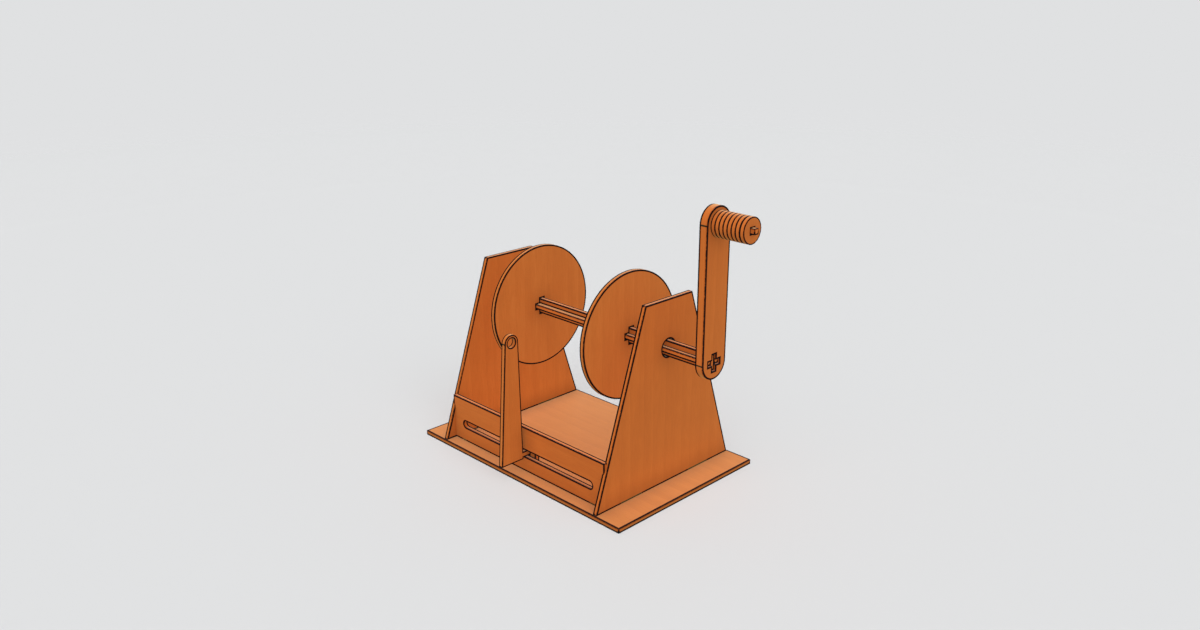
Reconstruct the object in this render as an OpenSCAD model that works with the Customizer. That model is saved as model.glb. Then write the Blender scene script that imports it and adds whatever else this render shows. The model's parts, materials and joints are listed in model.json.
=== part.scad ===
// Hand-cranked yarn ball winder, cut from flat board and slotted together.
// X runs along the shaft towards the crank, Y from the guide side to the back, Z up.
// The origin is the middle of the base's underside.

/* [Board] */
// Thickness of the board for the frame, the discs, the shaft and the guide
board_t = 5; // [3:0.5:6]
// Slack of a slotted joint, over the whole width of its slot
joint_slack = 0.1; // [0.05:0.05:0.2]

/* [Base] */
// Length of the base, along the shaft
base_l = 300; // [270:1:330]
// Depth of the base, front to back
base_d = 200; // [185:1:240]

/* [Uprights] */
// Height of an upright's top above the table
upright_h = 200; // [180:1:230]
// Width of an upright at its top
upright_top_w = 66.7; // [50:0.1:90]
// Distance from an end of the base to the outer face of its upright
base_margin = 31; // [15:1:45]
// Width of each of the two foot tabs of an upright
foot_tab_w = 33.3; // [20:0.1:40]
// Distance between the middles of the two foot tabs
foot_tab_pitch = 100; // [80:1:110]

/* [Front panel] */
// Height of the front panel above the base
panel_h = 49.5; // [45:0.5:60]
// Distance from the base's front edge to the panel's front face
panel_setback = 14.6; // [12:0.1:18]
// Depth that each end of the panel is let into its upright
panel_let_in = 2.5; // [1:0.1:2.8]
// Distance from an upright's inner face to the slot's end
slot_margin = 14; // [8:0.5:40]
// Height of the slot
slot_h = 7.5; // [7:0.1:10]
// Height of the slot's middle above the table
slot_z = 25; // [22:0.5:30]
// Width of each of the panel's two tabs
panel_tab_w = 10; // [6:0.5:14]
// Distance from an upright's inner face to the middle of the panel's tab
panel_tab_margin = 14; // [8:0.5:40]

/* [Yarn guide] */
// Diameter of the eyelet that the yarn runs through
eyelet_d = 10; // [6:0.1:11]
// Diameter of the arm's round head
arm_head_d = 16.7; // [15:0.1:22]
// Distance from the front panel to the middle of the eyelet
eyelet_reach = 14.3; // [13:0.1:20]
// Foot of the arm, forwards from the middle of the eyelet
arm_foot_front = 16.9; // [10:0.1:22]
// Gap between the foot of the arm and the front panel
arm_foot_gap = 3; // [2:0.1:4.5]
// Height of the arm's foot above the table
arm_foot_z = 20; // [15:0.1:20.5]
// Height of the tab that slides in the slot
arm_tab_h = 6; // [4:0.1:6.4]
// Width of the keeper behind the panel
keeper_w = 23.5; // [15:0.5:32]
// Height of the keeper
keeper_h = 16; // [12:0.5:20]
// Gap between the keeper and the panel
keeper_gap = 0.4; // [0.3:0.05:0.8]
// Length of tab that stands out behind the keeper
arm_tab_end = 4; // [1:0.5:8]

/* [Shaft] */
// Height of the shaft's axis above the table
shaft_z = 150; // [148:1:156]
// Width of the two strips that cross to make the shaft
strip_w = 16.5; // [14:0.1:18]
// Clearance round the shaft in the uprights
shaft_clearance = 0.4; // [0.3:0.05:0.8]
// Length of shaft that stands out of the left upright
shaft_stub = 5; // [2:0.5:15]
// Depth of the shaft's end below the face of the crank
shaft_recess = 2; // [0.5:0.1:4]

/* [Discs] */
// Diameter of the two winding discs
disc_d = 133.4; // [110:0.1:140]
// Distance between the middles of the two discs
disc_pitch = 133.4; // [80:0.1:180]

/* [Crank] */
// Thickness of the crank arm
crank_t = 9; // [6:0.5:12]
// Width of the crank arm, round at both ends
crank_w = 33; // [28:0.5:34]
// Distance from the shaft's axis to the grip's axis
crank_throw = 133; // [100:0.5:133]
// Gap between the right upright and the crank arm
crank_gap = 47.2; // [32:0.1:60]

/* [Grip] */
// Diameter of the grip
grip_d = 25; // [20:0.5:32]
// Thickness of each disc of the grip
grip_disc_t = 4.5; // [3:0.1:6]
// End play of the turning grip, at each end
grip_play = 0.3; // [0.2:0.05:0.6]
// Side of the square peg that carries the grip
peg_w = 5.5; // [4:0.1:8]
// Length of peg that stands out of the grip's cap
peg_end = 4.5; // [2:0.1:8]
// Clearance round the peg in the turning discs
peg_clearance = 0.1; // [0.05:0.01:0.1]

/* [Hidden] */
$fn = 96;
// Discs of the grip that turn; the cap is one more, fixed on the peg
turning_discs = 7;

// Extra length that lets a cut run clear of the face it opens
over = 1;
board_color = "#BA6230";
edge_color = "#C7733D";

// Uprights
upright_out_x = base_l / 2 - base_margin;
upright_in_x = upright_out_x - board_t;
upright_lean = (base_d - upright_top_w) / 2 / upright_h;

// Front panel
panel_front_y = -base_d / 2 + panel_setback;
panel_back_y = panel_front_y + board_t;
panel_top_z = board_t + panel_h;
panel_half_l = upright_in_x + panel_let_in - joint_slack / 2;

// Yarn guide: the eyelet is level with the shaft
eyelet_y = panel_front_y - eyelet_reach;
eyelet_z = shaft_z;
arm_foot_back_y = panel_front_y - arm_foot_gap;
keeper_front_y = panel_back_y + keeper_gap;
keeper_back_y = keeper_front_y + board_t;

// Shaft
strip_reach = norm([strip_w / 2, board_t / 2]);
shaft_hole_r = strip_reach + shaft_clearance;
crank_back_x = upright_out_x + crank_gap;
crank_front_x = crank_back_x + crank_t;
shaft_left_x = -upright_out_x - shaft_stub;
shaft_right_x = crank_front_x - shaft_recess;
shaft_mid_x = (shaft_left_x + shaft_right_x) / 2;

// Grip
grip_z = shaft_z + crank_throw;
grip_start_x = crank_front_x + grip_play;
cap_x = grip_start_x + turning_discs * grip_disc_t + grip_play;
peg_tip_x = cap_x + grip_disc_t + peg_end;
peg_hole_r = norm([peg_w / 2, peg_w / 2]) + peg_clearance;

// Height is measured from the table, so an upright narrows from the underside of the base
function upright_half_w(z) = base_d / 2 - upright_lean * z;

// Where a straight edge from point p touches a circle; side is 1 or -1
function touch_point(p, centre, r, side) =
    let (d = centre - p)
    let (turn = side * acos(r / norm(d)))
    let (heading = atan2(-d.y, -d.x) + turn)
    centre + r * [cos(heading), sin(heading)];

// A flat shape drawn in Y and Z, as thick as t along X, starting at x
module plate_across_x(x, t) {
    translate([x, 0, 0])
        rotate([90, 0, 90])
            linear_extrude(t)
                children();
}

// A round bar along X
module bar_along_x(x, l, r) {
    translate([x, 0, 0])
        rotate([0, 90, 0])
            cylinder(h = l, r = r);
}

// A box from its two opposite corners
module box_between(low, high) {
    translate(low)
        cube(high - low);
}

// The crossed section of the shaft, grown by slack, from x over a length l
module shaft_section(x, l, slack) {
    w = strip_w + slack;
    t = board_t + slack;
    translate([x, 0, shaft_z]) {
        translate([0, -t / 2, -w / 2])
            cube([l, t, w]);
        translate([0, -w / 2, -t / 2])
            cube([l, w, t]);
    }
}

// The foot tabs of the upright that starts at x, grown by slack, from z_low to z_high
module foot_tabs(x, slack, z_low, z_high) {
    for (side = [-1, 1])
        translate([0, side * foot_tab_pitch / 2, 0])
            box_between(
                [x - slack / 2, -(foot_tab_w + slack) / 2, z_low],
                [x + board_t + slack / 2, (foot_tab_w + slack) / 2, z_high]
            );
}

// The two tabs of the front panel, grown by slack, from z_low to z_high
module panel_tabs(slack, z_low, z_high) {
    for (side = [-1, 1])
        translate([side * (upright_in_x - panel_tab_margin), 0, 0])
            box_between(
                [-(panel_tab_w + slack) / 2, panel_front_y - slack / 2, z_low],
                [(panel_tab_w + slack) / 2, panel_back_y + slack / 2, z_high]
            );
}

// The sliding tab of the guide arm, grown by slack, from y_low to y_high
module arm_tab(slack, y_low, y_high) {
    box_between(
        [-(board_t + slack) / 2, y_low, slot_z - (arm_tab_h + slack) / 2],
        [(board_t + slack) / 2, y_high, slot_z + (arm_tab_h + slack) / 2]
    );
}

// The square peg of the grip, grown by slack, from x_low to x_high
module peg(slack, x_low, x_high) {
    w = peg_w + slack;
    box_between([x_low, -w / 2, grip_z - w / 2], [x_high, w / 2, grip_z + w / 2]);
}

// An upright that starts at x: a trapezoid on two tabs, grooved inside for the panel's end
module upright(x, groove_x) {
    color(board_color)
        difference() {
            union() {
                plate_across_x(x, board_t)
                    polygon([
                        [-upright_half_w(board_t), board_t],
                        [upright_half_w(board_t), board_t],
                        [upright_half_w(upright_h), upright_h],
                        [-upright_half_w(upright_h), upright_h]
                    ]);
                foot_tabs(x, 0, 0, 2 * board_t);
            }
            translate([0, 0, shaft_z])
                bar_along_x(x - over, board_t + 2 * over, shaft_hole_r);
            box_between(
                [groove_x - panel_let_in, panel_front_y - joint_slack / 2, board_t - over],
                [groove_x + panel_let_in, panel_back_y + joint_slack / 2, panel_top_z + joint_slack / 2]
            );
        }
}

module base_plate() {
    color(edge_color)
        difference() {
            translate([-base_l / 2, -base_d / 2, 0])
                cube([base_l, base_d, board_t]);
            foot_tabs(-upright_out_x, joint_slack, -over, board_t + over);
            foot_tabs(upright_in_x, joint_slack, -over, board_t + over);
            panel_tabs(joint_slack, -over, board_t + over);
        }
}

module left_upright() {
    upright(-upright_out_x, -upright_in_x);
}

module right_upright() {
    upright(upright_in_x, upright_in_x);
}

// A long slot with round ends lets the guide slide from disc to disc
module front_panel() {
    slot_r = slot_h / 2;
    slot_end_x = upright_in_x - slot_margin - slot_r;
    color(board_color)
        difference() {
            union() {
                box_between([-panel_half_l, panel_front_y, board_t], [panel_half_l, panel_back_y, panel_top_z]);
                panel_tabs(0, 0, 2 * board_t);
            }
            for (side = [-1, 1])
                translate([side * slot_end_x, panel_back_y + over, slot_z])
                    rotate([90, 0, 0])
                        cylinder(h = board_t + 2 * over, r = slot_r);
            box_between(
                [-slot_end_x, panel_front_y - over, slot_z - slot_r],
                [slot_end_x, panel_back_y + over, slot_z + slot_r]
            );
        }
}

// A tapering arm with an eyelet in its round head and a tab that slides in the panel's slot
module guide_arm() {
    head_r = arm_head_d / 2;
    head = [eyelet_y, eyelet_z];
    foot_front = [eyelet_y - arm_foot_front, arm_foot_z];
    foot_back = [arm_foot_back_y, arm_foot_z];
    color(board_color)
        difference() {
            union() {
                plate_across_x(-board_t / 2, board_t)
                    polygon([
                        foot_front,
                        foot_back,
                        touch_point(foot_back, head, head_r, 1),
                        head,
                        touch_point(foot_front, head, head_r, -1)
                    ]);
                translate([0, eyelet_y, eyelet_z])
                    bar_along_x(-board_t / 2, board_t, head_r);
                arm_tab(0, eyelet_y, keeper_back_y + arm_tab_end);
            }
            translate([0, eyelet_y, eyelet_z])
                bar_along_x(-board_t / 2 - over, board_t + 2 * over, eyelet_d / 2);
        }
}

// The plate on the tab behind the panel that keeps the guide arm in the slot
module arm_keeper() {
    color(board_color)
        difference() {
            box_between(
                [-keeper_w / 2, keeper_front_y, slot_z - keeper_h / 2],
                [keeper_w / 2, keeper_back_y, slot_z + keeper_h / 2]
            );
            arm_tab(joint_slack, keeper_front_y - over, keeper_back_y + over);
        }
}

// The two strips of the shaft are slit to the middle from opposite ends and pushed together
module upright_strip() {
    slit = board_t + joint_slack;
    color(board_color)
        translate([0, 0, shaft_z])
            difference() {
                box_between([shaft_left_x, -board_t / 2, -strip_w / 2], [shaft_right_x, board_t / 2, strip_w / 2]);
                box_between([shaft_left_x - over, -board_t, -slit / 2], [shaft_mid_x, board_t, slit / 2]);
            }
}

module level_strip() {
    slit = board_t + joint_slack;
    color(edge_color)
        translate([0, 0, shaft_z])
            difference() {
                box_between([shaft_left_x, -strip_w / 2, -board_t / 2], [shaft_right_x, strip_w / 2, board_t / 2]);
                box_between([shaft_mid_x, -slit / 2, -board_t], [shaft_right_x + over, slit / 2, board_t]);
            }
}

// A winding disc with its middle plane at x, pushed on the shaft
module winding_disc(x) {
    color(board_color)
        difference() {
            translate([0, 0, shaft_z])
                bar_along_x(x - board_t / 2, board_t, disc_d / 2);
            shaft_section(x - board_t, 2 * board_t, joint_slack);
        }
}

module left_disc() {
    winding_disc(-disc_pitch / 2);
}

module right_disc() {
    winding_disc(disc_pitch / 2);
}

module crank_arm() {
    color(board_color)
        difference() {
            union() {
                box_between([crank_back_x, -crank_w / 2, shaft_z], [crank_front_x, crank_w / 2, grip_z]);
                for (z = [shaft_z, grip_z])
                    translate([0, 0, z])
                        bar_along_x(crank_back_x, crank_t, crank_w / 2);
            }
            shaft_section(crank_back_x - over, crank_t + 2 * over, joint_slack);
            peg(joint_slack, crank_back_x - over, crank_front_x + over);
        }
}

module grip_peg() {
    color(edge_color)
        peg(0, crank_back_x, peg_tip_x);
}

// Turning disc number i of the grip, counted from the crank
module grip_disc(i) {
    x = grip_start_x + (i - 1) * grip_disc_t;
    color(i % 2 == 0 ? board_color : edge_color)
        translate([0, 0, grip_z])
            difference() {
                bar_along_x(x, grip_disc_t, grip_d / 2);
                bar_along_x(x - over, grip_disc_t + 2 * over, peg_hole_r);
            }
}

// The last disc of the grip sits tight on the square peg and keeps the others on
module grip_cap() {
    color(board_color)
        difference() {
            translate([0, 0, grip_z])
                bar_along_x(cap_x, grip_disc_t, grip_d / 2);
            peg(joint_slack, cap_x - over, cap_x + grip_disc_t + over);
        }
}

base_plate();
left_upright();
right_upright();
front_panel();
guide_arm();
arm_keeper();
upright_strip();
level_strip();
left_disc();
right_disc();
crank_arm();
grip_peg();
for (i = [1 : turning_discs]) grip_disc(i);
grip_cap();
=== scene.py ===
# %% [markdown]
# # Dressing a slotted yarn ball winder
#
# The winder is a kit of flat boards: a base, two tapered uprights, a slotted front panel, a sliding yarn
# guide, two winding discs on a crossed shaft, and a crank with a grip of stacked discs. Every piece is
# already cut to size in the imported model, so nothing is modelled twice here. This lesson gives the bare
# solids the finish of laser-cut boards: orange stained plywood with a fine grain, thin plies on the cut
# edges and dark, scorched arrises.

# %% Load the winder
import json
import math
from collections import namedtuple

import bpy
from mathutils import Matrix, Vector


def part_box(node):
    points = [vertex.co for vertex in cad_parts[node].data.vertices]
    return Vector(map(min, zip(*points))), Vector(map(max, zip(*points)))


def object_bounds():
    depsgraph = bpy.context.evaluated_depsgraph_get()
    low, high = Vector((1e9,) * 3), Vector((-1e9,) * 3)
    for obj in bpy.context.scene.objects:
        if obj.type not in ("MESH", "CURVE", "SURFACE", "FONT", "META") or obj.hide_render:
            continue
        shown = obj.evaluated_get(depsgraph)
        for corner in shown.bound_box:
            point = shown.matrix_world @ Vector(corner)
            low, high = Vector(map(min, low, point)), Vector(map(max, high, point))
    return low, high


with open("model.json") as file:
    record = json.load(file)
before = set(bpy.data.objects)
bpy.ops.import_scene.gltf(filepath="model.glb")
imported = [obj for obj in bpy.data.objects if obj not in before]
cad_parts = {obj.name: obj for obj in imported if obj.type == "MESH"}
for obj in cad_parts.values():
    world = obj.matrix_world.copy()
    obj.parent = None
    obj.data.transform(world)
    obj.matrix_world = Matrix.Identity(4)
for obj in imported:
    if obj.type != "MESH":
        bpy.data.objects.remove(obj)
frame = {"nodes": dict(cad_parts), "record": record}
boards = frame["nodes"]
cad_low, cad_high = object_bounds()
print("boards:", len(boards), "box:", tuple(cad_low), tuple(cad_high))

# %% [markdown]
# ## Camera
#
# The picture looks down on the winder from the crank's end, over the right front corner. A camera can be
# aimed with a constraint, but a fixed place and two angles are easier to read and never drift. The lens is
# given as a focal length in pixels of the 1200 pixel wide frame, and turned into millimetres here.

# %% Place the camera
FRAME_WIDTH_PX = 1200
FOCAL_PX = 1027.8
SENSOR_MM = 36.0
CAMERA_PLACE = (0.73023, -0.70309, 0.50422)
CAMERA_TURN = math.radians(45.084)
CAMERA_DIP = math.radians(19.05)

camera_data = bpy.data.cameras.new("camera")
camera_data.sensor_width = SENSOR_MM
camera_data.lens = FOCAL_PX * SENSOR_MM / FRAME_WIDTH_PX
camera = bpy.data.objects.new("camera", camera_data)
camera.location = CAMERA_PLACE
camera.rotation_euler = (math.pi / 2 - CAMERA_DIP, 0, CAMERA_TURN)
bpy.context.scene.collection.objects.link(camera)
bpy.context.scene.camera = camera
print("lens:", round(camera_data.lens, 2), "mm")

# %% [markdown]
# ## Node helpers
#
# A shader is a graph of nodes, and a graph takes many lines of code when each node is made, set and linked
# by hand. One small helper makes a node, sets its options and fills or links its inputs. The others each
# make one kind of node, so that the rest of the lesson can show what each node is for.

# %% Node helpers
AXES = "xyz"


def add_node(tree, kind, options=None, inputs=None):
    """Makes a node; inputs maps a socket's name or number to a value or to another node's socket."""
    node = tree.nodes.new("ShaderNode" + kind)
    for name, value in (options or {}).items():
        setattr(node, name, value)
    for name, value in (inputs or {}).items():
        if isinstance(value, bpy.types.NodeSocket):
            tree.links.new(value, node.inputs[name])
        else:
            node.inputs[name].default_value = value
    return node


def math_node(tree, operation, *values):
    """One step of arithmetic on numbers or sockets."""
    return add_node(tree, "Math", {"operation": operation}, dict(enumerate(values))).outputs[0]


def vector_node(tree, operation, *vectors):
    """One step of arithmetic on vectors; only LENGTH gives a number."""
    node = add_node(tree, "VectorMath", {"operation": operation}, dict(enumerate(vectors)))
    return node.outputs["Value" if operation == "LENGTH" else "Vector"]


def along_axis(tree, vector, axis):
    """A vector's part along one axis."""
    return add_node(tree, "SeparateXYZ", inputs={0: vector}).outputs[AXES.index(axis)]


def map_range(tree, value, start, end, interpolation="LINEAR"):
    """Maps a value from a starting range to an ending range, and stops at both limits."""
    inputs = dict(enumerate([value, *start, *end]))
    return add_node(tree, "MapRange", {"interpolation_type": interpolation}, inputs).outputs[0]


def smooth_step(tree, value, low, high):
    """A smooth step from 0 at low to 1 at high."""
    return map_range(tree, value, (low, high), (0.0, 1.0), "SMOOTHSTEP")


def mix_colour(tree, share, first, second):
    """Turns the first colour into the second as the share goes from 0 to 1."""
    return add_node(tree, "MixRGB", inputs={0: share, 1: first, 2: second}).outputs[0]


def ray_is_seen(tree):
    """1 for rays from the camera, from a mirror or through glass, and 0 for the rays that carry light."""
    ray = add_node(tree, "LightPath").outputs
    seen = math_node(tree, "MAXIMUM", ray["Is Camera Ray"], ray["Is Glossy Ray"])
    return math_node(tree, "MAXIMUM", seen, ray["Is Transmission Ray"])


print("helpers: node, math, vector, axis, range, step, colour, ray")

# %% [markdown]
# ## Light
#
# The light is even and almost without shadow, as under a wide studio dome. A plain white world gives that.
# Two broad suns add shape: one from the camera's side, so that the front and the crank side are equally
# bright, and a weaker one from behind, which also glances off the tops. A sun lights the whole floor alike,
# where an area lamp would leave a bright pool on it. The suns cast no shadow: the soft shade in the corners
# comes from the dome.

# %% Dome and suns
PALE_GREY = (0.745, 0.752, 0.760, 1)
DOME_LEVEL = 0.30
FRONT_SUN = {"strength": 3.7, "turn": 45, "height": 32, "width": 90}
BACK_SUN = {"strength": 2.0, "turn": 225, "height": 28, "width": 50}


def dome_world():
    """A white dome for the light, with a pale grey backdrop where it is seen or mirrored."""
    world = bpy.data.worlds.new("studio dome")
    world.use_nodes = True
    tree = world.node_tree
    dome = tree.nodes["Background"]
    dome.inputs["Color"].default_value = (1, 1, 1, 1)
    dome.inputs["Strength"].default_value = DOME_LEVEL
    backdrop = add_node(tree, "Background", inputs={"Color": PALE_GREY})
    inputs = {0: ray_is_seen(tree), 1: dome.outputs[0], 2: backdrop.outputs[0]}
    pick = add_node(tree, "MixShader", inputs=inputs).outputs[0]
    tree.links.new(pick, tree.nodes["World Output"].inputs["Surface"])
    return world


def broad_sun(name, strength, turn, height, width):
    """A sun without shadows: its turn about Z from the front, its height and its width in degrees."""
    lamp = bpy.data.lights.new(name, "SUN")
    lamp.energy = strength
    lamp.angle = math.radians(width)
    lamp.use_shadow = False
    sun = bpy.data.objects.new(name, lamp)
    sun.rotation_euler = (math.radians(90 - height), 0, math.radians(turn))
    bpy.context.scene.collection.objects.link(sun)
    return sun


bpy.context.scene.world = dome_world()
suns = [broad_sun("front sun", **FRONT_SUN), broad_sun("back sun", **BACK_SUN)]
bpy.context.scene.view_settings.view_transform = "Standard"
print("suns:", [sun.data.energy for sun in suns])

# %% [markdown]
# ## Floor
#
# The winder stands on a plain pale floor. A floor that ends in a visible edge would draw the eye, so this
# one is a disc that fades out into the backdrop of the same grey. Its grey is chosen so that, lit by the
# dome and the suns, it comes out as the backdrop does, and it still takes the winder's soft shadow. The
# light that it throws back up is held down by a darker grey for the rays that carry light. The floor lies
# a hair below the base, because two surfaces in one place would flicker.

# %% Pale floor
FLOOR_RADIUS = 3.0
FLOOR_SIDES = 128
FLOOR_FADE = (1.5, 2.85)
FLOOR_GREY = (0.609, 0.615, 0.621, 1)
FLOOR_BOUNCE = (0.15, 0.15, 0.15, 1)
FLOOR_GAP = 0.0002


def floor_material():
    """Matt grey that turns clear towards the rim."""
    material = bpy.data.materials.new("pale floor")
    material.use_nodes = True
    tree = material.node_tree
    distance = vector_node(tree, "LENGTH", add_node(tree, "TexCoord").outputs["Object"])
    fade = map_range(tree, distance, FLOOR_FADE, (0.0, 1.0))
    grey = mix_colour(tree, ray_is_seen(tree), FLOOR_BOUNCE, FLOOR_GREY)
    matt = add_node(tree, "BsdfDiffuse", inputs={"Color": grey}).outputs[0]
    clear = add_node(tree, "BsdfTransparent").outputs[0]
    mix = add_node(tree, "MixShader", inputs={0: fade, 1: matt, 2: clear}).outputs[0]
    tree.links.new(mix, tree.nodes["Material Output"].inputs["Surface"])
    return material


bpy.ops.mesh.primitive_circle_add(vertices=FLOOR_SIDES, radius=FLOOR_RADIUS, fill_type="NGON")
floor = bpy.context.object
floor.name = "floor"
floor.location.z = cad_low.z - FLOOR_GAP
floor.data.materials.append(floor_material())
print("floor:", FLOOR_RADIUS, "m in radius")

# %% [markdown]
# ## The face of a board
#
# Each board is plywood, stained orange through its faces and edges and waxed to a low sheen. Close up, the
# face shows stain that took unevenly, the veneer's wavy figure, long streaks, fine fibres and short dark
# pores. All but the first are drawn out along the grain. A painted image would have to be unwrapped onto
# every board; noise that is stretched along the grain needs no unwrapping and has no seams. The weights say
# how much each layer lightens or darkens the tone.

# %% Veneer
GRAIN_STRETCH = 14.0
CLOUDS_PER_M = 26
STREAKS_PER_M = 95
FIBRES_PER_M = 1100
PORES_PER_M = 2300
PORE_EDGE = (0.66, 0.74)
FIGURE_WAVE = {"Scale": 17, "Distortion": 9.0, "Detail": 2.0, "Detail Scale": 1.4}
LITTLE_DETAIL = 1.0
SOME_DETAIL = 2.0
MUCH_DETAIL = 3.0
CLOUD_WEIGHT = 0.16
FIGURE_WEIGHT = 0.07
STREAK_WEIGHT = 0.18
FIBRE_WEIGHT = 0.24
PORE_WEIGHT = -0.14


def noise(tree, place, per_metre, detail=SOME_DETAIL):
    """Noise from 0 to 1."""
    inputs = {"Vector": place, "Scale": per_metre, "Detail": detail}
    return add_node(tree, "TexNoise", inputs=inputs).outputs[0]


def about_half(tree, layers):
    """Adds up layers from 0 to 1, each swung about one half by its weight."""
    total = 0.5 - sum(weight for layer, weight in layers) / 2
    for layer, weight in layers:
        total = math_node(tree, "MULTIPLY_ADD", layer, weight, total)
    return total


def veneer(tree, place, grain, thickness, shift):
    """The tone of a board's face, with its fibres and pores for the relief."""
    stretch = [1 / GRAIN_STRETCH if axis == grain else 1.0 for axis in AXES]
    inputs = {"Vector": place, "Location": (shift, shift, shift), "Scale": stretch}
    along = add_node(tree, "Mapping", inputs=inputs).outputs[0]
    across = (set(AXES) - {grain, thickness}).pop().upper()
    options = {"bands_direction": across, "wave_profile": "SAW"}
    figure = add_node(tree, "TexWave", options, {"Vector": along, **FIGURE_WAVE}).outputs["Fac"]
    fibres = noise(tree, along, FIBRES_PER_M)
    pores = smooth_step(tree, noise(tree, along, PORES_PER_M, LITTLE_DETAIL), *PORE_EDGE)
    layers = [
        (noise(tree, place, CLOUDS_PER_M, MUCH_DETAIL), CLOUD_WEIGHT),
        (figure, FIGURE_WEIGHT),
        (noise(tree, along, STREAKS_PER_M, MUCH_DETAIL), STREAK_WEIGHT),
        (fibres, FIBRE_WEIGHT),
    ]
    tone = math_node(tree, "MULTIPLY_ADD", pores, PORE_WEIGHT, about_half(tree, layers))
    return tone, fibres, pores


print("veneer: clouds", 1000 / CLOUDS_PER_M, "mm, fibres", round(1000 / FIBRES_PER_M, 2), "mm across")

# %% [markdown]
# ## The cut edge
#
# The cut edge is a little brighter than the face, and it shows the plies. In every other ply the grain runs
# the other way and takes the stain differently, so the plies are in turn a little darker and lighter. All
# are finely speckled with cut fibres, and a thin dark glue line lies between them. The distance through the
# board says which ply a point is in.

# %% Plies
PLY = 0.001
GLUE_SHARE = 0.16
GLUE_WEIGHT = -0.12
TURN_WEIGHT = 0.10
SPECKS_PER_M = 1700
SPECK_WEIGHT = 0.30


def plies(tree, place, thickness, low):
    """The tone of a cut edge whose board starts at low along its thickness."""
    depth = along_axis(tree, place, thickness)
    ply = math_node(tree, "MULTIPLY_ADD", depth, 1 / PLY, -low / PLY)
    turned = math_node(tree, "MODULO", math_node(tree, "FLOOR", ply), 2.0)
    from_glue = math_node(tree, "PINGPONG", ply, 0.5)
    glue = math_node(tree, "LESS_THAN", from_glue, GLUE_SHARE / 2)
    layers = [
        (turned, TURN_WEIGHT),
        (noise(tree, place, SPECKS_PER_M), SPECK_WEIGHT),
        (noise(tree, place, CLOUDS_PER_M, MUCH_DETAIL), CLOUD_WEIGHT),
    ]
    return math_node(tree, "MULTIPLY_ADD", glue, GLUE_WEIGHT, about_half(tree, layers))


print("plies:", PLY * 1000, "mm each")

# %% [markdown]
# ## The scorched arris
#
# The laser leaves a narrow burn along the arrises: black at the corner, brown where it ends, and a little
# uneven. The shader needs to know how near a point is to an arris. A number called arris, stored on the
# mesh in a later cell, says so: it is 0 on the open face and rises to 1 across a narrow band.
#
# A burn needn't be the same on both sides: smoke can stain the face that the beam enters by, and char can
# build up on the cut edge towards the side that it leaves by. Here the burn is strong on the show face and
# on the far half of the cut edge, and weak on the other two, which gives the outlines an even weight.
#
# The line at the foot of an upright or of the panel runs on across the tabs, where no arris is: soot and
# glue gather in the seam on the base. There the height above the base says how near the seam is.
#
# A thin burn also crosses the cut edge of the crank and of the guide's head, where the laser slowed down as
# the straight side runs into the round end. Such a burn is all that lies close to a line through the board,
# so the shader measures the distance to that line.

# %% Burn
ARRIS = 0.0018
BURN_BROWN = (0.085, 0.018, 0.004, 1)
BURN_BLACK = (0.005, 0.004, 0.004, 1)
BURNS_PER_M = 520
BURN_UNEVEN = 1.8
WEAK_BURN = 0.65
STRONG_BURN = 3.0
BROWN_STEP = (0.03, 0.55)
BLACK_STEP = (0.30, 0.72)
CROSS_STEP = (0.0006, 0.0010)


def near_arris(tree):
    """How near an arris is, as stored on the mesh."""
    return add_node(tree, "Attribute", {"attribute_name": "arris"}).outputs["Fac"]


def near_seam(tree, place, level):
    """1 at the seam's level, falling to 0 the width of an arris band above and below it."""
    height = math_node(tree, "SUBTRACT", along_axis(tree, place, "z"), level)
    return map_range(tree, math_node(tree, "ABSOLUTE", height), (0.0, ARRIS), (1.0, 0.0))


def burn(tree, place, colour, near, strong):
    """Chars a colour by how near the burn is, and gives how far the wood is burnt; strong is 0 or 1."""
    patches = noise(tree, place, BURNS_PER_M, MUCH_DETAIL)
    uneven = math_node(tree, "MULTIPLY_ADD", patches, BURN_UNEVEN, 1 - BURN_UNEVEN / 2)
    strength = math_node(tree, "MULTIPLY_ADD", strong, STRONG_BURN - WEAK_BURN, WEAK_BURN)
    heat = math_node(tree, "MULTIPLY", near, math_node(tree, "MULTIPLY", uneven, strength))
    brown = smooth_step(tree, heat, *BROWN_STEP)
    black = smooth_step(tree, heat, *BLACK_STEP)
    colour = mix_colour(tree, brown, colour, BURN_BROWN)
    return mix_colour(tree, black, colour, BURN_BLACK), black


def cross_burns(tree, place, colour, marks):
    """Chars a colour close to lines along X, each given by its Y and Z."""
    for y, z in marks:
        offset = vector_node(tree, "MULTIPLY_ADD", place, (0, 1, 1), (0, -y, -z))
        clear = smooth_step(tree, vector_node(tree, "LENGTH", offset), *CROSS_STEP)
        colour = mix_colour(tree, clear, BURN_BLACK, colour)
    return colour


print("burn:", ARRIS * 1000, "mm wide on each face of an arris")

# %% [markdown]
# ## Stain
#
# One colour ramp turns the tone of a face or a cut edge into stain, from a deep reddish orange to a light
# one. Where boards meet, the colour is darkened towards a deep red: this is painted shade in the corners,
# which an Ambient Occlusion node finds by how much open space there is around a point.

# %% Stain
STAIN = [
    (0.0, (0.29, 0.046, 0.006)),
    (0.5, (0.475, 0.103, 0.0155)),
    (1.0, (0.66, 0.182, 0.035)),
]
# The colour of the painted shade that darkens the corners where boards meet.
CORNER_SHADE = (0.17, 0.024, 0.002, 1)
CORNER_REACH = 0.022
CORNER_SAMPLES = 8


def stain(tree, tone, yellow):
    """Orange stain, from deep to light, which turns from red towards yellow as yellow rises past 1."""
    ramp = add_node(tree, "ValToRGB", inputs={0: tone})
    elements = ramp.color_ramp.elements
    elements.new(STAIN[1][0])
    for element, (position, (red, green, blue)) in zip(elements, STAIN):
        element.position = position
        element.color = (red, green * yellow, blue * yellow * yellow, 1)
    return ramp.outputs[0]


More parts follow.
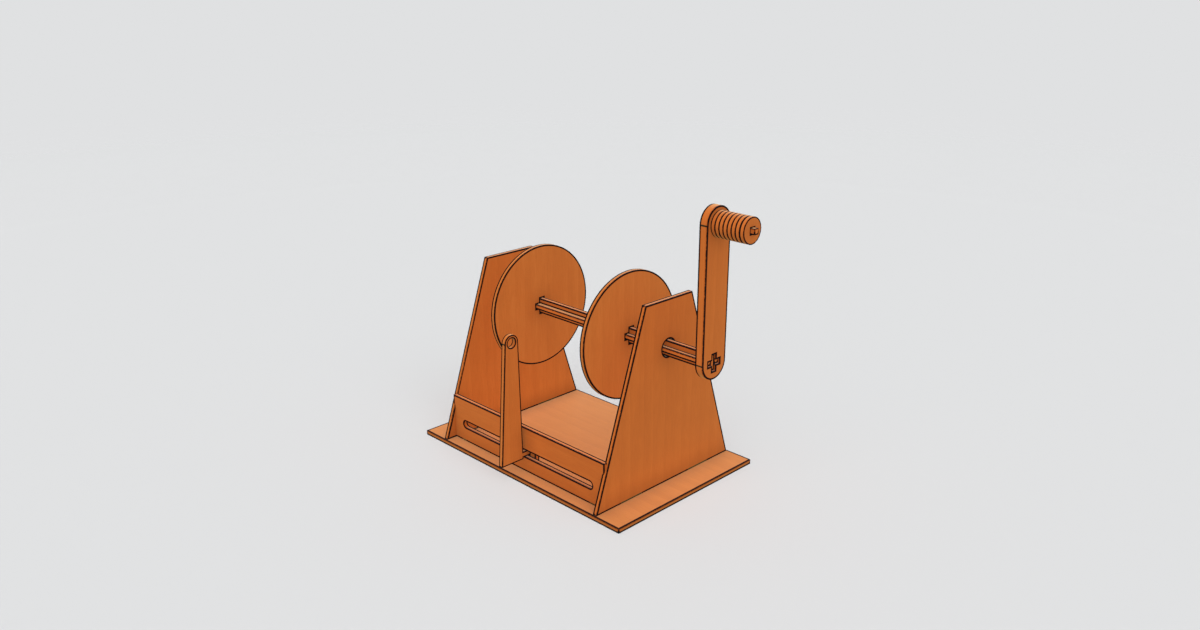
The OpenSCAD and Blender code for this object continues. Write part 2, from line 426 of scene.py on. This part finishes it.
def paint_corner_shade(tree, colour):
    """Darkens a colour where boards meet: painted shade in the corners."""
    options = {"samples": CORNER_SAMPLES}
    openness = add_node(tree, "AmbientOcclusion", options, {"Distance": CORNER_REACH}).outputs["AO"]
    return mix_colour(tree, openness, CORNER_SHADE, colour)


print("stain:", STAIN[1][1])

# %% [markdown]
# ## Stained plywood
#
# Now the layers come together. The shader tells face from cut edge by the surface's own direction: a face
# looks along the board's thickness. The fibres also set the gloss, and with the pores they make a slight
# relief. A warm sheen gives the dusty wax bloom that lightens the tops. The scorched band is the same wood,
# burnt and without the bloom. A small record holds what differs from board to board: the axes of its grain
# and thickness, where it starts and ends through its thickness, its shifts of tone, hue and pattern, and
# its burns.

# %% Board material
EDGE_LIFT = 0.16
FACE_LIMIT = 0.7
GLOSS = (0.42, 0.58)
BURN_MATT = 0.25
PORE_DEPTH = -0.8
RELIEF_DEPTH = 0.00006
RELIEF_STRENGTH = 0.35
WAX_SPECULAR = 0.03
WAX_BLOOM = 0.5
BLOOM_ROUGHNESS = 0.5
BLOOM_TINT = (1.0, 0.79, 0.265, 1)
Board = namedtuple("Board", "grain thickness low high tone_shift yellow shift marks seam")


def far_half(tree, place, board):
    """1 in the half of a board that the beam leaves by: its back, its left or its underside."""
    past = "GREATER_THAN" if board.thickness == "y" else "LESS_THAN"
    depth = along_axis(tree, place, board.thickness)
    return math_node(tree, past, depth, (board.low + board.high) / 2)


def stained_plywood(name, board, scorched):
    """Orange stained plywood for a board's open surface, or for its scorched arrises."""
    material = bpy.data.materials.new(name)
    material.use_nodes = True
    tree = material.node_tree
    surface = tree.nodes["Principled BSDF"]
    coordinates = add_node(tree, "TexCoord").outputs
    place = coordinates["Object"]
    face_tone, fibres, pores = veneer(tree, place, board.grain, board.thickness, board.shift)
    edge_tone = math_node(tree, "ADD", plies(tree, place, board.thickness, board.low), EDGE_LIFT)
    facing = math_node(tree, "ABSOLUTE", along_axis(tree, coordinates["Normal"], board.thickness))
    is_face = math_node(tree, "GREATER_THAN", facing, FACE_LIMIT)
    tone = add_node(tree, "Mix", inputs={0: is_face, 2: edge_tone, 3: face_tone}).outputs[0]
    tone = math_node(tree, "ADD", tone, board.tone_shift)
    # Painted shade: the colour is darkened in the corners where boards meet.
    colour = paint_corner_shade(tree, stain(tree, tone, board.yellow))
    colour = cross_burns(tree, place, colour, board.marks)
    gloss = map_range(tree, fibres, (0.0, 1.0), GLOSS)
    if scorched or board.seam is not None:
        near = near_arris(tree) if scorched else near_seam(tree, place, board.seam)
        far = far_half(tree, place, board)
        strong = math_node(tree, "ABSOLUTE", math_node(tree, "SUBTRACT", is_face, far))
        colour, burnt = burn(tree, place, colour, near, strong)
        gloss = math_node(tree, "MULTIPLY_ADD", burnt, BURN_MATT, gloss)
    height = math_node(tree, "MULTIPLY_ADD", pores, PORE_DEPTH, fibres)
    relief = {"Height": height, "Strength": RELIEF_STRENGTH, "Distance": RELIEF_DEPTH}
    tree.links.new(colour, surface.inputs["Base Color"])
    tree.links.new(gloss, surface.inputs["Roughness"])
    tree.links.new(add_node(tree, "Bump", inputs=relief).outputs[0], surface.inputs["Normal"])
    surface.inputs["Specular IOR Level"].default_value = WAX_SPECULAR
    surface.inputs["Sheen Weight"].default_value = 0.0 if scorched else WAX_BLOOM
    surface.inputs["Sheen Roughness"].default_value = BLOOM_ROUGHNESS
    surface.inputs["Sheen Tint"].default_value = BLOOM_TINT
    return material


print("board record:", Board._fields)

# %% [markdown]
# ## Arrises
#
# The dark line that outlines a piece follows its arrises, so it is made from the shape and not painted on
# the faces, where it would break at every corner. A Bevel with a square profile cuts a narrow band along an
# arris, on both of its faces, and leaves the corner itself as crisp as the laser does. Two kinds of
# geometry group do what the Bevel can't: one picks the arrises before it, and one marks the bands after it.
# Each takes in a mesh, stores a number on it and passes it on, so they share three helpers.

# %% Group helpers


def mesh_group(name):
    """A geometry group, with the sockets that a mesh comes in by and goes out by."""
    group = bpy.data.node_groups.new(name, "GeometryNodeTree")
    for way in ("INPUT", "OUTPUT"):
        group.interface.new_socket("Mesh", in_out=way, socket_type="NodeSocketGeometry")
    mesh = group.nodes.new("NodeGroupInput").outputs[0]
    result = group.nodes.new("NodeGroupOutput").inputs[0]
    return group, mesh, result


def store_number(group, mesh, result, domain, name, value):
    """Stores a number on the mesh's edges or on the corners of its faces."""
    node = group.nodes.new("GeometryNodeStoreNamedAttribute")
    node.data_type = "FLOAT"
    node.domain = domain
    node.inputs["Name"].default_value = name
    group.links.new(mesh, node.inputs["Geometry"])
    group.links.new(value, node.inputs["Value"])
    group.links.new(node.outputs[0], result)


def on_domain(group, domain, value):
    """Works out a number on the mesh's points, edges or faces, as the mean of what meets there."""
    node = group.nodes.new("GeometryNodeFieldOnDomain")
    node.domain = domain
    group.links.new(value, node.inputs[0])
    return node.outputs[0]


print("group helpers: mesh, store, domain")

# %% [markdown]
# Arrises are picked by the angle between their faces: only outside corners are scorched. The rims of the
# grooves in the uprights and of the mortises in the base are left out, because other boards fill them. Such
# a rim lies inside the filling board's own box.

# %% Arris picks
SHARP = math.radians(35)
RIM_MARGIN = 0.001
STANDING = ["left_upright", "right_upright", "front_panel"]


def inside_box(group, place, box):
    """1 where a place lies in a box that is grown by the rim's margin, and 0 elsewhere."""
    middle = [(low + high) / 2 for low, high in zip(*box)]
    reaches = [(high - low) / 2 + RIM_MARGIN for low, high in zip(*box)]
    offset = vector_node(group, "ABSOLUTE", vector_node(group, "SUBTRACT", place, middle))
    inside = 1.0
    for axis, reach in zip(AXES, reaches):
        near = math_node(group, "LESS_THAN", along_axis(group, offset, axis), reach)
        inside = math_node(group, "MULTIPLY", near, inside)
    return inside


def arris_picks(name, fillers):
    """Picks outside corners for the Bevel, without the rims that the filling boards fill."""
    group, mesh, result = mesh_group(name)
    angle = group.nodes.new("GeometryNodeInputMeshEdgeAngle").outputs["Signed Angle"]
    ends = group.nodes.new("GeometryNodeInputMeshEdgeVertices").outputs
    picked = math_node(group, "GREATER_THAN", angle, SHARP)
    for filler in fillers:
        inside = [inside_box(group, ends[end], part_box(filler)) for end in ("Position 1", "Position 2")]
        bare = math_node(group, "SUBTRACT", 1.0, math_node(group, "MULTIPLY", *inside))
        picked = math_node(group, "MULTIPLY", picked, bare)
    store_number(group, mesh, result, "EDGE", "bevel_weight_edge", picked)
    return group


PICKS = arris_picks("arris picks", [])
GROOVE_PICKS = arris_picks("arris picks beside the groove", ["front_panel"])
MORTISE_PICKS = arris_picks("arris picks beside the mortises", STANDING)
RIM_PICKS = {
    "left_upright": GROOVE_PICKS,
    "right_upright": GROOVE_PICKS,
    "base_plate": MORTISE_PICKS,
}
print("boards with filled rims:", list(RIM_PICKS))

# %% [markdown]
# A band is known by the material slot that the Bevel gives it. The number stored there, which the burn
# reads, is the mean of two tests, each 0 or 1: whether all the faces round a point belong to the band, and
# whether a sharp edge runs through it. So the number is 0 where the band meets the open face, one half
# along the band's middle, and 1 at the corner.

# %% Arris marks
BAND_SLOT = 1
SAME_SLOT = 0.5
ALL_ROUND = 0.99
ANY_THERE = 0.01


def arris_marks():
    """Stores how near each corner of a face is to an arris."""
    group, mesh, result = mesh_group("arris marks")
    slot = group.nodes.new("GeometryNodeInputMaterialIndex").outputs[0]
    band = on_domain(group, "FACE", math_node(group, "COMPARE", slot, float(BAND_SLOT), SAME_SLOT))
    inner = math_node(group, "GREATER_THAN", on_domain(group, "POINT", band), ALL_ROUND)
    inner = on_domain(group, "POINT", inner)
    angle = group.nodes.new("GeometryNodeInputMeshEdgeAngle").outputs["Signed Angle"]
    sharp = on_domain(group, "EDGE", math_node(group, "GREATER_THAN", angle, SHARP))
    crisp = math_node(group, "GREATER_THAN", on_domain(group, "POINT", sharp), ANY_THERE)
    crisp = on_domain(group, "POINT", crisp)
    mean = math_node(group, "DIVIDE", math_node(group, "ADD", inner, crisp), 2.0)
    near = math_node(group, "MULTIPLY", band, mean)
    store_number(group, mesh, result, "CORNER", "arris", near)
    return group


MARKS = arris_marks()
print("arris groups:", [group.name for group in bpy.data.node_groups])

# %% [markdown]
# Five modifiers go onto a board in this order. The Bevel needs joined vertices and whole flat faces, so a
# Weld and a planar Decimate come first, and then the picks, the Bevel itself and the marks.

# %% Arris bands
JOIN_REACH = 0.000001
FLAT = math.radians(0.2)
ARRIS_STEPS = 4
SQUARE_PROFILE = 1.0


def band_arrises(name, width):
    """Turns a board's arrises into narrow bands and marks them for the burn."""
    modifiers = boards[name].modifiers
    weld = modifiers.new("joined corners", "WELD")
    weld.merge_threshold = JOIN_REACH
    whole = modifiers.new("whole faces", "DECIMATE")
    whole.decimate_type = "DISSOLVE"
    whole.angle_limit = FLAT
    modifiers.new("arris picks", "NODES").node_group = RIM_PICKS.get(name, PICKS)
    band = modifiers.new("arris bands", "BEVEL")
    band.limit_method = "WEIGHT"
    band.width = width
    band.segments = ARRIS_STEPS
    band.profile = SQUARE_PROFILE
    band.material = BAND_SLOT
    band.use_clamp_overlap = False
    band.loop_slide = False
    modifiers.new("arris marks", "NODES").node_group = MARKS


print("arris bands:", ARRIS_STEPS, "steps across")

# %% [markdown]
# ## Burns at the round ends
#
# The burns across the cut edge lie level with the middle of each round end: the crank's two ends fill the
# width of its box, and the guide's head goes round the eyelet, whose place is in the record.

# %% Burns at the round ends


def end_marks(y, z, radius):
    """The two places where the straight sides of a board run into its round end."""
    return [(y - radius, z), (y + radius, z)]


def crank_marks():
    """The marks at both ends of the crank."""
    low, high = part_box("crank_arm")
    radius = (high.y - low.y) / 2
    middle = (high.y + low.y) / 2
    return end_marks(middle, low.z + radius, radius) + end_marks(middle, high.z - radius, radius)


def guide_marks():
    """The marks beside the eyelet."""
    openings = frame["record"]["physics"]["openings"]
    low, high = next(opening["box_m"] for opening in openings if opening["name"] == "guide_eyelet")
    y, z = ((low[axis] + high[axis]) / 2 for axis in (1, 2))
    return end_marks(y, z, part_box("guide_arm")[1].z - z)


MARKS_ACROSS = {"crank_arm": crank_marks(), "guide_arm": guide_marks()}
print("burns across:", {name: len(marks) for name, marks in MARKS_ACROSS.items()})

# %% [markdown]
# ## Dressing the boards
#
# Every board has its own grain direction, as it lay on the sheet, and its own thickness direction: LAID
# names the two axes, the grain's first. A board's tone and pattern also drift a little from those of its
# neighbours, because no two boards take stain alike. Steps of the golden ratio spread the drift without
# chance. Boards that stand among others catch their orange light and look redder, so the stain of the base,
# the left upright, the discs and the guide is mixed yellower, and that of the open panel a little redder.
# Small boards get a finer arris band.

# %% Dress every board
LAID = {
    "base_plate": "xz",
    "front_panel": "xy",
    "arm_keeper": "xy",
    "upright_strip": "xy",
    "level_strip": "xz",
    "grip_peg": "xz",
}
LAID_OTHERS = "zx"
ARRIS_FINE = {"guide_arm": 0.0014, "grip_disc": 0.0012, "grip_cap": 0.0012, "grip_peg": 0.0013}
YELLOW = {
    "base_plate": 1.14,
    "left_upright": 1.1,
    "left_disc": 1.16,
    "right_disc": 1.16,
    "guide_arm": 1.1,
    "front_panel": 0.91,
}
GOLDEN = 0.618
DRIFT = 0.05
SEAM_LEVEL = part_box("base_plate")[1].z


def board_record(number, name):
    """What sets one board apart from the others."""
    grain, thickness = LAID.get(name, LAID_OTHERS)
    low, high = (corner[AXES.index(thickness)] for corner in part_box(name))
    return Board(
        grain=grain,
        thickness=thickness,
        low=low,
        high=high,
        tone_shift=DRIFT * (number * GOLDEN % 1 - 0.5),
        yellow=YELLOW.get(name, 1.0),
        shift=number * GOLDEN,
        marks=MARKS_ACROSS.get(name, []),
        seam=SEAM_LEVEL if name in STANDING else None,
    )


def arris_width(name):
    """The width of a board's arris bands."""
    return next((width for start, width in ARRIS_FINE.items() if name.startswith(start)), ARRIS)


def dress(number, name):
    """Gives a board its plywood and its scorched arrises."""
    board = board_record(number, name)
    materials = boards[name].data.materials
    materials.clear()
    materials.append(stained_plywood(name + " plywood", board, scorched=False))
    materials.append(stained_plywood(name + " scorched arris", board, scorched=True))
    band_arrises(name, arris_width(name))


for number, name in enumerate(sorted(boards)):
    dress(number, name)
print("dressed:", len(boards))
